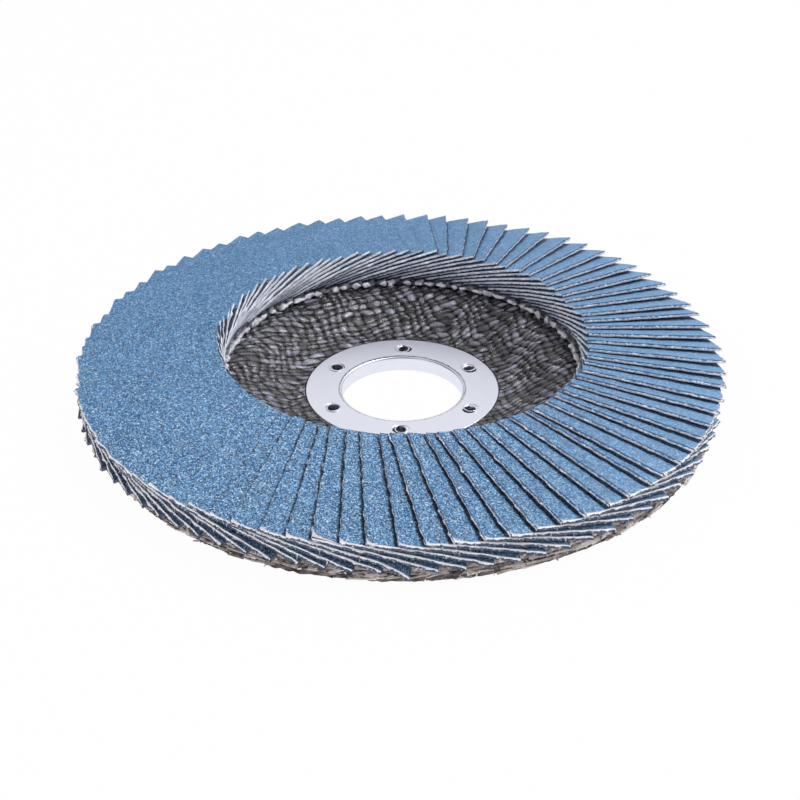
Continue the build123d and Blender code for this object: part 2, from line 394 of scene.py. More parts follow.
def flapPoint(s, t, height):
    # a point of the sheet, t from 0 at the inner end to 1 at the rim, height from 0 at the cloth to 1 at
    # the grit
    innerLow, innerHigh = flapEnd(s, False)
    outerLow, outerHigh = flapEnd(s, True)
    low = innerLow + (outerLow - innerLow) * t[..., None]
    high = innerHigh + (outerHigh - innerHigh) * t[..., None]
    return low + (high - low) * height[..., None]


def turned(points, degrees):
    c, s = math.cos(math.radians(degrees)), math.sin(math.radians(degrees))
    return points @ np.array([[c, s, 0], [-s, c, 0], [0, 0, 1]])


def flapCut(random, index):
    # one flap's own uneven cut, in mm, and where it is stuck down; the pack sits a little off centre
    turn = math.radians(flap["startAngle"]) + flapPitch * index
    off = flap["offCentre"]
    return {
        "index": index,
        "angle": math.degrees(turn),
        "shift": random.normal(0, flap["placeScatter"]),
        "slant": random.normal(0, flap["slantScatter"]),
        "endOut": random.normal(off - off * math.cos(turn) + off * math.sin(turn), flap["endScatter"]),
        "endIn": random.normal(-flap["innerWorn"] * max(0.0, -math.sin(turn)), flap["endScatter"] * 0.8),
        "puff": random.normal(flap["puff"], flap["puffScatter"]),
        "droop": max(0.0, random.normal(0.0, flap["droopScatter"])),
        "seeds": random.randint(1 << 30, size=3),
    }


def facing(angle, direction):
    # 1 where the disc's side at `angle` faces `direction`, -1 on the far side, both in degrees
    return math.cos(math.radians(angle - direction))


def freeLine(cut, t):
    # how far the free side strays at t, in mm
    ragged = softNoise(np.random.RandomState(cut["seeds"][0]), t * flap["length"], 0 * t, 3.0)
    return cut["shift"] + cut["slant"] * (t - 0.5) + flap["raggedness"] * ragged


def placeOn(cut, s, t, height):
    # a point of this flap, with its own uneven cut and its own small waves
    s, t, height = np.broadcast_arrays(s, t, height)
    across = s * flapAcross
    along = s + fade(across, 2.6) * freeLine(cut, t) / flapAcross
    ragged = flap["raggedness"] * softNoise(np.random.RandomState(cut["seeds"][1]), across, 0 * s, 2.6)
    outer, inner = np.clip((t - 0.9) / 0.1, 0, 1), np.clip((0.06 - t) / 0.06, 0, 1)
    down = t + (outer * (cut["endOut"] + ragged) + inner * (cut["endIn"] + ragged)) / flap["length"]
    p = flapPoint(along, down, height)
    strip = fade(across, 5.0) ** 2 * np.clip((t - 0.25) / 0.75, 0, 1)
    wave = 0.07 * softNoise(np.random.RandomState(cut["seeds"][2]), across, t * flap["length"], 9)
    corner = np.clip((s - 0.72) / 0.28, 0, 1) ** 2 * np.clip((t - 0.86) / 0.14, 0, 1) ** 2
    worn = flap["clearUnder"] * fade(across, 1.6) * (1 - height)
    p[..., 2] += strip * (wave + cut["puff"]) - cut["droop"] * corner + worn
    return p


def toNextFlap(points, following):
    # mm from each point of the sheet to where the next flap's free side lies on it, and how far the point
    # is beneath that flap
    c, s = math.cos(flapPitch), math.sin(flapPitch)
    x, y = points[:, 0] * c + points[:, 1] * s, points[:, 1] * c - points[:, 0] * s
    # no painted crevice shade beyond the next flap's end
    past = (np.hypot(x, y) - disc["tipRadius"] + 0.8).clip(0, None)
    clear = freeLine(following, (x - leadInnerX) / flapRun) - flap["lead"] - y
    return np.abs(clear - 0.2) + past, np.clip(-clear / 0.4, 0, 1)


wear = {
    "seen": 5.4,             # mm of a flap that its neighbour leaves in sight, modelled finest
    "endChips": (0.4, 0.68),      # mm of the outer end where grit is chipped off, and how much
    "cornerChips": (1.1, 1.8, 1.2),  # mm from the end and from the free side, and how much
    "sideChips": (0.45, 0.8),     # along the free side
    "torn": (2.8, 8.0, 1.25),     # mm from the end and from the free side, and how much
    "tornLift": 0.35,        # mm
    # degrees round the disc of the side where each is strongest
    "wholeEnds": 170,
    "brokenGrit": -35,
    "leastShade": -30,       # beneath the next flap, outer half
    "leastInnerShade": 0,    # the same, inner half
    "smearedGlue": 156,
}


def flapSheet(random, cut, following):
    columns = np.concatenate([np.linspace(0, wear["seen"], 13),
                              np.linspace(wear["seen"], flapAcross, 15)[1:]])
    rows = np.concatenate([[0, 0.4], np.linspace(1.2, 22.6, 24), np.linspace(23.2, flap["length"], 5)])
    s, t = np.meshgrid(columns / flapAcross, rows / flap["length"])
    top, bottom = placeOn(cut, s, t, 1.0).reshape(-1, 3), placeOn(cut, s, t, 0.0).reshape(-1, 3)
    n = len(top)
    grid = gridQuads(len(rows), len(columns))
    fromEnd = (1 - t) * flap["length"]
    reach, amount = wear["endChips"]
    chipped = fade(fromEnd, reach) * amount
    reach, sideReach, amount = wear["cornerChips"]
    chipped += amount * fade(fromEnd, reach) * fade(s * flapAcross, sideReach)
    chipped *= 1 - 0.8 * max(0.0, facing(cut["angle"], wear["wholeEnds"])) ** 2
    broken = np.clip(1.3 * facing(cut["angle"], wear["brokenGrit"]), 0, 1)
    reach, amount = wear["sideChips"]
    chipped += amount * broken * fade(s * flapAcross, reach)
    if cut["index"] == flap["tornFlap"]:
        reach, sideReach, amount = wear["torn"]
        torn = np.clip(1 - fromEnd / reach - s * flapAcross / sideReach, 0, 1)
        chipped += amount * torn
        top[:, 2] += wear["tornLift"] * torn.ravel() ** 2
    # painted shade darkens the strips left bare beneath the next flap, least on the lit side
    outerShade = 0.54 - 0.4 * facing(cut["angle"], wear["leastShade"])
    innerShade = 0.76 - 0.22 * facing(cut["angle"], wear["leastInnerShade"])
    toNext, beneath = toNextFlap(top, following)
    # the painted crevice shade is wider along the near flaps
    toNext *= 1 - 0.45 * max(0.0, -math.sin(math.radians(cut["angle"])))
    beneath = beneath * np.where(t.ravel() < 0.5, innerShade, outerShade)
    none = np.zeros(n)
    sheet = flapPart(np.concatenate([top, bottom]), np.concatenate([grid, grid[:, ::-1] + n]), noTriangles,
                     np.repeat([0, 3], len(grid)), np.concatenate([none + 1, none]),
                     np.concatenate([chipped.ravel(), none]), np.concatenate([toNext, none + farAway]),
                     np.concatenate([beneath, none]))
    smeared = max(0.0, facing(cut["angle"], wear["smearedGlue"])) ** 4
    parts = [sheet] + [flapEdge(random, cut, line, smeared, broken) for line in edges]
    return [(turned(p[0], cut["angle"]),) + tuple(p[1:]) for p in parts]


edges = {
    # mm between points, lip on the grit, and how far the cloth stands out below it, from the grit to the
    # back
    "outer": (0.26, 0.05, (0.0, 0.09, 0.15, 0.12, 0.03)),
    "free": (0.26, 0.02, (0.0, 0.05, 0.17, 0.16, 0.05)),
    "inner": (0.4, 0.03, (0.0, 0.08, 0.12, 0.1, 0.03)),
    "glued": (1.2, 0.1, (0.0, 0.05, 0.05, 0.05, 0.02)),
}
edgeHeights = (1.0, 0.78, 0.52, 0.26, 0.0)


def flapEdge(random, cut, line, smeared, broken):
    # the cut wall round the sheet in fine steps: the cloth frays out below the grit
    step, lip, proud = edges[line]
    reach = flapAcross if line in ("outer", "inner") else flap["length"]
    n = int(reach / step)
    f = np.linspace(0, 1, n)
    s = {"outer": f, "inner": 1 - f, "free": 0 * f, "glued": 0 * f + 1}[line]
    t = {"outer": 0 * f + 1, "inner": 0 * f, "free": f, "glued": 1 - f}[line]
    inside = {"outer": (0, -1), "inner": (0, 1), "free": (1, 0), "glued": (-1, 0)}[line]
    frayed = np.clip(1 + 0.9 * softNoise(random, f * reach, 0 * f, 2.4), 0.1, 2.4)
    share = 0.25 + 0.75 * broken if line == "free" else 1.0  # less frayed where it is rubbed flat
    rings = []
    for height, out in zip(edgeHeights, proud):
        if height == 1.0:
            inward = lip * random.uniform(1, 2, n)
        else:
            inward = -out * share * frayed * random.uniform(0.5, 1.4, n)
        ps = s + inside[0] * inward / flapAcross
        pt = t + inside[1] * inward / flap["length"]
        p = placeOn(cut, np.clip(ps, -0.03, 1.01), np.clip(pt, -0.02, 1.02), height)
        p[:, 2] += 0.01 if height == 1.0 else random.normal(0, 0.03 * (height > 0), n)
        rings.append(p)
    points = np.concatenate(rings)
    quads = gridQuads(len(rings), n, flip=True)
    kind = {"free": 2, "inner": 6, "glued": 3}.get(line, 1)
    glue = 0.6 * smeared + 0.08 if line == "inner" else 0.0
    wall = flapPart(points, quads, noTriangles, kind, np.repeat(edgeHeights, n) + glue)
    if line == "glued":
        return wall
    return joinParts([wall, flapFuzz(random, rings, rings[0] - rings[1], line, share)])


fuzz = {
    "outer": (3.6, 0.36, 0.045, 0.0),   # loose ends per mm, longest in mm, thread radius in mm, lift
    "free": (3.0, 0.24, 0.05, -1.1),
    "inner": (1.4, 0.2, 0.045, -0.2),
}


def flapFuzz(random, rings, inward, line, share):
    # loose yarn ends and torn fibres along the cut edges, thickest at the leading outer corner
    perMm, longest, radius, lift = fuzz[line]
    edge = rings[1]
    reach = np.concatenate([[0], np.cumsum(np.linalg.norm(np.diff(edge, axis=0), axis=1))])
    n = int(reach[-1] * perMm * share)
    at = random.uniform(0, reach[-1], n)
    if line == "outer":
        at[: n // 4] = random.uniform(0, 1.5, n // 4)
    clumps = softNoise(np.random.RandomState(random.randint(1 << 30)), at, 0 * at, 1.7)
    p, q, low = (np.stack([np.interp(at, reach, a[:, k]) for k in range(3)], -1)
                 for a in (edge, inward, rings[3]))
    way = -q / (np.linalg.norm(q, axis=1, keepdims=True) + 1e-9)
    along = (edge[-1] - edge[0]) / np.linalg.norm(edge[-1] - edge[0])
    way = way + along * random.normal(0, 0.8, (n, 1))
    way = way + np.array([0, 0, 1]) * random.normal(lift, 0.3, (n, 1))
    start = p + (low - p) * random.uniform(0.2, 0.9, (n, 1)) - way * 0.05
    length = (0.08 + random.exponential(longest * 0.4, n)).clip(0, longest)
    length = length * np.clip(1 + 0.6 * clumps, 0.25, 1.8)
    width = random.uniform(0.6, 1.3, n) * radius * np.clip(1 + 0.4 * clumps, 0.4, 1.5)
    bend = random.normal(0, 0.3, (n, 3)) * length[:, None]
    points, quads, caps = fibres(start, way, bend, length, width)
    kind = 5 if line == "free" else 4
    return flapPart(points, quads, caps, kind)


def makeFlaps():
    materials = [makeGritMaterial(),
                 makeCutEdgeMaterial("cutClothEnd", "end"),
                 makeCutEdgeMaterial("cutClothSide", "side"),
                 makeClothBackMaterial(),
                 makeThreadMaterial("looseEndThread", *cloth["endThread"]),
                 makeThreadMaterial("looseSideThread", *cloth["sideThread"]),
                 makeCutEdgeMaterial("cutClothInner", "inner")]
    random = np.random.RandomState(41)
    cuts = [flapCut(random, index) for index in range(flap["count"])]
    cuts[flap["droopingFlap"]]["droop"] = 1.2
    for first in range(0, flap["count"], flap["perPiece"]):
        parts = []
        for cut in cuts[first:first + flap["perPiece"]]:
            parts += flapSheet(random, cut, cuts[(cut["index"] + 1) % flap["count"]])
        points, quads, triangles, quadKinds, triangleKinds, layer, rim, toNext, beneath = joinParts(parts)
        number = first // flap["perPiece"] + 1
        piece = makePiece(f"flapPair{number:02d}", points, [quads, triangles], materials,
                          np.concatenate([quadKinds, triangleKinds]),
                          {"layer": layer, "rim": rim, "toNext": toNext, "beneath": beneath})
        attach(piece, "root")
        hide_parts(f"flaps_{number:02d}")


makeFlaps()
print("flaps: made")


# ---- the backing plate ----

plate = {
    "innerRadius": 17.86,
    "rimRadius": 56.2,       # the ground rim stands a little inside the flaps' corners
    "hubFlatRadius": 20.5,
    "hubFront": 2.8,
    "hubBack": 0.3,
    "seatHeight": 2.38,      # of the step the washer lies in
    "backInnerRadius": 16.06,
    "rimThickness": 2.6,
    "cornerRound": 2.4,
    "dishEdge": 33.2,        # the dish's weave is seen as far as the flaps' inner ends
    "strandPitch": 1.5,      # mm between glass strands of the woven mesh
    "strandHeight": 0.62,
    "middleCrown": 0.55,     # share of that height that lies on the plate's own surface
    "backPitch": 2.2,
    "backHeight": 0.22,
    "backMiddle": 0.72,
    "sunk": 0.9,             # mm, how far the plain plate lies below the woven dish
    "weaveTurn": 24.0,       # degrees, how the mesh lies
    # the gaps between strands are painted near black, painted shade of the weave's hollows
    "gap": "#060608",
    "strand": "#24242E",
    "worn": "#9795AA",
    "edge": ("#2A2423", "#5A5152", "#948A88"),   # ground rim, from dark resin to pale fibre
    "rimRagged": 0.2,        # mm
    "dishStep": 0.19,        # mm between rings of points in the woven dish
    "dishAround": 1100,      # points in a ring of it
    "around": 600,           # points in a ring of the rest
}
dishRise = (disc["ridgeHeight"] - plate["hubFront"]) / (disc["ridgeRadius"] - plate["hubFlatRadius"])


def rounded(radius, corner, change):
    # the rise past a corner of the profile where its slope changes, eased over the corner's round
    x = radius - corner
    return change * 0.5 * (x + np.sqrt(x * x + plate["cornerRound"] ** 2))


def plateFront(radius):
    z = plate["hubFront"] + rounded(radius, plate["hubFlatRadius"], dishRise)
    return z + rounded(radius, disc["ridgeRadius"], -dishRise - rimFall)


def plateBack(radius):
    backRidge = disc["ridgeHeight"] - plate["rimThickness"]
    backFlat = disc["ridgeRadius"] - (backRidge - plate["hubBack"]) / dishRise
    z = plate["hubBack"] + rounded(radius, backFlat, dishRise)
    return z + rounded(radius, disc["ridgeRadius"], -dishRise - rimFall)


def bulge(across):
    # round section of a strand, `across` from its middle in pitches
    return np.sqrt(np.clip(1 - (2 * across / 0.94) ** 2, 0, 1))


def weave(random, x, y, pitch, flat=0.8):
    # plain weave: height of the strand on top, 0 in the gaps to 1 on the crowns, a tint for each float
    # and the place across its strand in mm
    a = math.radians(plate["weaveTurn"])
    u = (x * math.cos(a) + y * math.sin(a)) / (pitch / flat)
    v = (-x * math.sin(a) + y * math.cos(a)) / (pitch * flat)
    u = u + 0.35 * softNoise(random, x, y, 9.0) + 0.11 * softNoise(random, x, y, 2.6)
    v = v + 0.35 * softNoise(random, x, y, 9.0) + 0.11 * softNoise(random, x, y, 2.6)
    m, n = np.round(u), np.round(v)
    warp = bulge(u - m) * (0.46 + 0.44 * np.cos(math.pi * (v + m)))
    weft = bulge(v - n) * (0.58 - 0.42 * np.cos(math.pi * (u + n)))
    top = np.maximum(warp, weft)
    warpFloat = m * 57 + np.round((v + m) / 2) * 131
    weftFloat = n * 83 + np.round((u + n + 1) / 2) * 39 + 7
    label = np.where(warp > weft, warpFloat, weftFloat)
    tint = np.abs(np.sin(label * 12.9898) * 43758.5453) % 1.0
    return np.clip(top, 0, 1), tint, np.where(warp > weft, u - m, v - n) * pitch


def makePlateMaterial():
    # black phenolic resin over woven glass: glossy strands, gaps painted black as shade, rubbed grey on
    # some crowns
    material, tree, place = startMaterial("blackGlassMeshResin")
    crown = addNode(tree, "Attribute", {"attribute_name": "layer"})
    tint = addNode(tree, "Attribute", {"attribute_name": "tint"})
    scuff = addNode(tree, "TexNoise", {"Vector": place, "Scale": 1.3, "Detail": 5.0, "Roughness": 0.7})
    broad = addNode(tree, "TexNoise", {"Vector": place, "Scale": 0.16, "Detail": 2.0})
    # the gaps between strands are painted near black: painted shade in the hollows of the weave
    strand = addNode(tree, "ValToRGB", {"Fac": crown.outputs["Fac"]},
                     stops=[(0.25, plate["gap"]), (0.75, plate["strand"])])
    exposed = addNode(tree, "Math", {"operation": "MULTIPLY", 0: tint.outputs["Fac"],
                                     1: broad.outputs["Fac"]})
    scuffed = addNode(tree, "Math", {"operation": "MULTIPLY", 0: exposed, 1: scuff.outputs["Fac"]})
    rub = addNode(tree, "Math", {"operation": "MULTIPLY", 0: scuffed, 1: crown.outputs["Fac"]})
    rubbedAndSheen = addNode(tree, "MapRange", {"Value": rub, "From Min": 0.08, "From Max": 0.24, "To Min": 0.0,
                                        "To Max": 0.9})
    tone = addNode(tree, "MixRGB", {"Fac": rubbedAndSheen, "Color1": strand.outputs["Color"],
                                    "Color2": linear(plate["worn"])})
    # filaments run along each strand
    across = addNode(tree, "Attribute", {"attribute_name": "across"})
    lengthwise = addNode(tree, "VectorMath", {"operation": "SCALE", 0: place, "Scale": 0.09})
    filamentPlace = addNode(tree, "CombineXYZ", {"X": across.outputs["Fac"], "Y": tint.outputs["Fac"]})
    combed = addNode(tree, "VectorMath", {"operation": "ADD", 0: lengthwise, 1: filamentPlace})
    filaments = addNode(tree, "TexNoise", {"Vector": combed, "Scale": 4.5, "Detail": 3.0,
                                           "Roughness": 0.6})
    gloss = addNode(tree, "MapRange", {"Value": scuff.outputs["Fac"], "From Min": 0.3, "From Max": 0.7,
                                       "To Min": 0.18, "To Max": 0.36})
    sheen = addNode(tree, "MapRange", {"Value": crown.outputs["Fac"], "From Min": 0.3, "From Max": 0.75,
                                       "To Min": 0.15, "To Max": 1.0})
    return endMaterial(material, {"Base Color": tone, "Roughness": gloss, "IOR": 1.6,
                                  "Specular IOR Level": sheen}, filaments.outputs["Fac"], 0.7, 0.22)


def makeRimMaterial():
    # ground edge of the laminate behind the strands: dark resin with broken fibre
    material, tree, place = startMaterial("groundLaminateEdge")
    stretch = addNode(tree, "VectorMath", {"operation": "MULTIPLY", 0: place, 1: (0.7, 0.7, 2.6)})
    layers = addNode(tree, "TexNoise", {"Vector": stretch, "Scale": 1.0, "Detail": 5.0, "Roughness": 0.7})
    tone = addNode(tree, "ValToRGB", {"Fac": layers.outputs["Fac"]},
                   stops=list(zip((0.36, 0.52, 0.7), plate["edge"])))
    return endMaterial(material, {"Base Color": tone.outputs["Color"], "Roughness": 0.8, "IOR": 1.5},
                       layers.outputs["Fac"], 0.8, 0.25)


def polarGrid(radii, count, height):
    angle = np.arange(count) * 2 * math.pi / count
    r, a = np.meshgrid(radii, angle, indexing="ij")
    x, y = r * np.cos(a), r * np.sin(a)
    return x, y, height(r)


def rimPlaces(angle, radius, level):
    # places on the rim, level 0 at its front edge to 1 at its back edge, and the ways outward and round
    # from there
    outward = np.stack([np.cos(angle), np.sin(angle), 0 * angle], -1)
    along = np.stack([-np.sin(angle), np.cos(angle), 0 * angle], -1)
    place = outward * np.broadcast_to(radius, angle.shape)[:, None]
    top, bottom = plateFront(plate["rimRadius"] - 0.1), plateBack(plate["rimRadius"] - 0.1)
    place[:, 2] = top + (bottom - top) * level
    return place, outward, along


def makeDish(resin):
    # the front of the dish, where the weave is deepest and glossiest
    random = np.random.RandomState(7)
    around = plate["dishAround"]
    rings = np.arange(plate["innerRadius"], plate["dishEdge"], plate["dishStep"])
    x, y, z = polarGrid(rings, around, plateFront)
    crown, tint, across = weave(random, x, y, plate["strandPitch"])
    depth = np.clip(0.8 + 0.35 * softNoise(random, x, y, 11), 0.35, 1.2)
    fromSeat = np.clip((np.hypot(x, y) - plate["innerRadius"]) / 0.8, 0, 1)
    lump = 0.06 * softNoise(random, x, y, 2.6) + 0.16 * (tint - 0.5)
    z = z + ((crown - plate["middleCrown"]) * plate["strandHeight"] * depth + lump) * fromSeat
    points = np.stack([x, y, z], -1).reshape(-1, 3)
    piece = makePiece("wovenDish", points, [gridQuads(len(x), around, closed=True), noTriangles], [resin],
                      attributes={"layer": crown.ravel(), "tint": tint.ravel(), "across": across.ravel()},
                      smoothAngle=180)
    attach(piece, "root")
    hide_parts("backing_plate")


def makePlate(resin):
    # the rest of the plate: under the flaps, round the ragged rim and over the back
    random = np.random.RandomState(8)
    around = plate["around"]
    edge = plate["rimRadius"] - 0.4
    front = np.concatenate([plate["innerRadius"] + np.array([0, 0.3, 2.1, 5.1, 9.1, 11.6, 13.6, 14.7]),
                            [plate["dishEdge"] - 0.1, 36, 40, 45, 50, edge - 1.2, edge]])
    x, y, z = polarGrid(front, around, plateFront)
    sunk = (front > plate["innerRadius"] + 0.1) & (front < plate["dishEdge"] - 0.2)
    z = z - np.where(sunk, plate["sunk"], 0.0)[:, None]  # out of the way of the woven dish
    inner = plate["backInnerRadius"]
    back = np.concatenate([[edge], np.arange(edge - 0.6, inner, -0.6), [inner]])
    xb, yb, zb = polarGrid(back, around, plateBack)
    crown, tint, across = weave(random, xb, yb, plate["backPitch"])
    backRelief = (crown - plate["backMiddle"]) * plate["backHeight"]
    zb = zb - backRelief * np.clip((np.hypot(xb, yb) - 17) / 1.0, 0, 1)
    zb = np.maximum(zb, 0.02)
    angle = np.arange(around) * 2 * math.pi / around
    rim = []
    for level in (0.06, 0.2, 0.4, 0.6, 0.8, 0.94):
        ragged = plate["rimRagged"] * softNoise(random, angle * 57, level * 9, 1.6)
        ragged = ragged + 0.12 * softNoise(random, angle * 57, 0 * angle, 11)
        place = rimPlaces(angle, plate["rimRadius"] - 0.3 + ragged, level)[0]
        place[:, 2] += 0.07 * softNoise(random, angle * 57, 0 * angle, 3.0)
        rim.append(place)
    seat = rimPlaces(angle, plate["innerRadius"], 0)[0]
    seat[:, 2] = plate["seatHeight"]
    frontPoints = np.stack([x, y, z], -1).reshape(-1, 3)
    backPoints = np.stack([xb, yb, zb], -1).reshape(-1, 3)
    points = np.concatenate([frontPoints] + rim + [backPoints, seat])
    rows = len(front) + len(rim) + len(back)
    last, first = (rows - 1) * around + np.arange(around), np.arange(around)
    ring = rows * around + np.arange(around)
    shut = np.stack([last, np.roll(last, -1), np.roll(ring, -1), ring], -1)
    lid = np.stack([ring, np.roll(ring, -1), np.roll(first, -1), first], -1)
    quads = np.concatenate([gridQuads(rows, around, closed=True), shut, lid])
    kinds = np.zeros(len(quads), int)
    kinds[(len(front) - 2) * around:(len(front) + len(rim)) * around] = 1
    before = (len(front) + len(rim)) * around
    layer = np.concatenate([np.full(before, 0.4), crown.ravel(), np.zeros(around)])
    shade = np.concatenate([np.zeros(before), tint.ravel(), np.zeros(around)])
    across = np.concatenate([np.zeros(before), across.ravel(), np.zeros(around)])
    piece = makePiece("glassMeshPlate", points, [quads, noTriangles], [resin, makeRimMaterial()], kinds,
                      {"layer": layer, "tint": shade, "across": across}, smoothAngle=60)
    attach(piece, "root")
    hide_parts("backing_plate")


blackResin = makePlateMaterial()
makeDish(blackResin)
makePlate(blackResin)
print("backing plate: made")


strands = {
    "alongRim": 900,         # cut strands lying in the rim, in layers
    "layers": 7,
    "length": (1.6, 4.4),    # mm
    "radius": 0.27,
    "slope": 0.11,
    "loose": 420,            # short ends that stand out of it
    "looseLength": (0.25, 0.8),
    "looseRadius": (0.1, 0.26),
    "colours": ("#43393A", "#94898A", "#D3C9C5", "#F6F0EE"),
}


def makeStrandMaterial():
    # glass strands with brown resin rubbed off them: grey-brown, some pale and some dark, patchy along
    # their length
    material, tree, place = startMaterial("frayedGlassStrand")
    tint = addNode(tree, "Attribute", {"attribute_name": "tint"})
    patch = addNode(tree, "TexNoise", {"Vector": place, "Scale": 0.9, "Detail": 4.0, "Roughness": 0.75})
    mixed = addNode(tree, "Math", {"operation": "MULTIPLY_ADD", 0: patch.outputs["Fac"], 1: 2.2,
                                   2: tint.outputs["Fac"]})
    share = addNode(tree, "Math", {"operation": "MULTIPLY", 0: mixed, 1: 0.4})
    tone = addNode(tree, "ValToRGB", {"Fac": share},
                   stops=list(zip((0.4, 0.5, 0.64, 0.8), strands["colours"])))
    fine = addNode(tree, "TexNoise", {"Vector": place, "Scale": 5.0, "Detail": 3.0})
    return endMaterial(material, {"Base Color": tone.outputs["Color"], "Roughness": 0.7, "IOR": 1.5},
                       fine.outputs["Fac"], 0.5, 0.06)


def makeRimStrands():
    random = np.random.RandomState(19)
    n = strands["alongRim"]
    angle = random.uniform(0, 2 * math.pi, n)
    level = (np.arange(n) % strands["layers"] + random.uniform(-0.3, 0.7, n)) / strands["layers"]
    radius = plate["rimRadius"] - 0.2 + random.normal(0, 0.16, n)
    start, outward, along = rimPlaces(angle, radius, level)
    length = random.uniform(*strands["length"], n)
    slope = random.normal(0, strands["slope"], n)
    slope = np.where(level > 0.6, np.abs(slope), np.where(level < 0.3, -np.abs(slope), slope))
    way = along + outward * random.normal(0.0, 0.015, (n, 1)) + np.array([0, 0, 1]) * slope[:, None]
    bend = -outward * (length ** 2 / (2 * radius))[:, None]
    width = random.uniform(0.6, 1.3, n) * strands["radius"]
    p1, q1, c1 = fibres(start, way, bend, length, width, steps=7, taper=0.6)
    shade1 = np.repeat(random.uniform(0, 1, n), len(p1) // n)
    n = strands["loose"]
    angle = random.uniform(0, 2 * math.pi, n)
    start, outward, along = rimPlaces(angle, plate["rimRadius"] - 0.25, random.uniform(0.05, 0.9, n))
    way = outward * random.uniform(0.2, 0.8, (n, 1)) + along * random.normal(0, 0.9, (n, 1))
    way = way + np.array([0, 0, 1]) * random.normal(-0.12, 0.2, (n, 1))
    length = random.uniform(*strands["looseLength"], n)
    bend = random.normal(0, 0.15, (n, 3)) * length[:, None]
    width = random.uniform(*strands["looseRadius"], n)
    p2, q2, c2 = fibres(start, way, bend, length, width, steps=3, taper=0.6)
    shade2 = np.repeat(random.uniform(0, 1, n), len(p2) // n)
    points, quads, triangles, quadKinds, triangleKinds, shade = joinParts([
        (p1, q1, c1, np.zeros(len(q1), int), np.zeros(len(c1), int), shade1),
        (p2, q2, c2, np.zeros(len(q2), int), np.zeros(len(c2), int), shade2)])
    piece = makePiece("rimStrands", points, [quads, triangles], [makeStrandMaterial()],
                      np.concatenate([quadKinds, triangleKinds]), {"tint": shade})
    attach(piece, "root")


makeRimStrands()
print("rim strands: made")


# ---- adhesive ----

bead = {
    "radius": 32.3,          # mm from the axis
    "long": 0.85,            # half length round the disc
    "deep": 0.55,
    "high": 0.55,
    "lift": 0.3,             # mm above the plate
    "turn": 17.3,            # degrees on from a flap's own angle
    "turnScatter": 0.9,
    "size": (0.45, 1.3),     # from the smallest share of those sizes to the largest
    "lumps": 0.24,
    "squeezed": ((165, 0.45), (25, 0.4)),   # degrees of the sides with longer beads, and how much longer
    "colours": ("#A9A9B6", "#F2F2F8"),
}

bed = {
    "smears": ("#3B3C46", "#B4B4BF"),
    "grime": ("#3A3130", "#8B807C", "#C9BFBB"),
    "grimeReach": (36.0, 46.0),   # mm from the axis, where the grime starts and is full
}


def makeAdhesiveMaterial():
    # cured epoxy squeezed out by the dish: pale grey, half gloss, cloudy
    material, tree, place = startMaterial("curedEpoxyBead")
    cloud = addNode(tree, "TexNoise", {"Vector": place, "Scale": 1.2, "Detail": 4.0, "Roughness": 0.6})
    pale = addNode(tree, "ValToRGB", {"Fac": cloud.outputs["Fac"]},
                   stops=list(zip((0.34, 0.56), bead["colours"])))
    return endMaterial(material, {"Base Color": pale.outputs["Color"], "Roughness": 0.38, "IOR": 1.54},
                       cloud.outputs["Fac"], 0.5, 0.2)


def makeBedMaterial():
    # the bed between the flaps: resin-dark epoxy with pale smears, brown towards the rim
    material, tree, place = startMaterial("curedEpoxyBed")
    flat = addNode(tree, "VectorMath", {"operation": "MULTIPLY", 0: place, 1: (1, 1, 0)})
    reach = addNode(tree, "VectorMath", {"operation": "LENGTH", 0: flat})
    outer = addNode(tree, "MapRange", {"Value": reach.outputs["Value"],
                                       "From Min": bed["grimeReach"][0], "From Max": bed["grimeReach"][1]})
    cloud = addNode(tree, "TexNoise", {"Vector": place, "Scale": 0.9, "Detail": 4.0, "Roughness": 0.65})
    smear = addNode(tree, "ValToRGB", {"Fac": cloud.outputs["Fac"]},
                    stops=list(zip((0.42, 0.62), bed["smears"])))
    streak = addNode(tree, "TexNoise", {"Vector": place, "Scale": 1.1, "Detail": 4.0, "Roughness": 0.75})
    grimy = addNode(tree, "ValToRGB", {"Fac": streak.outputs["Fac"]},
                    stops=list(zip((0.42, 0.52, 0.62), bed["grime"])))
    colour = addNode(tree, "MixRGB", {"Fac": outer, "Color1": smear.outputs["Color"],
                                      "Color2": grimy.outputs["Color"]})
    return endMaterial(material, {"Base Color": colour, "Roughness": 0.45, "IOR": 1.54},
                       cloud.outputs["Fac"], 0.5, 0.2)


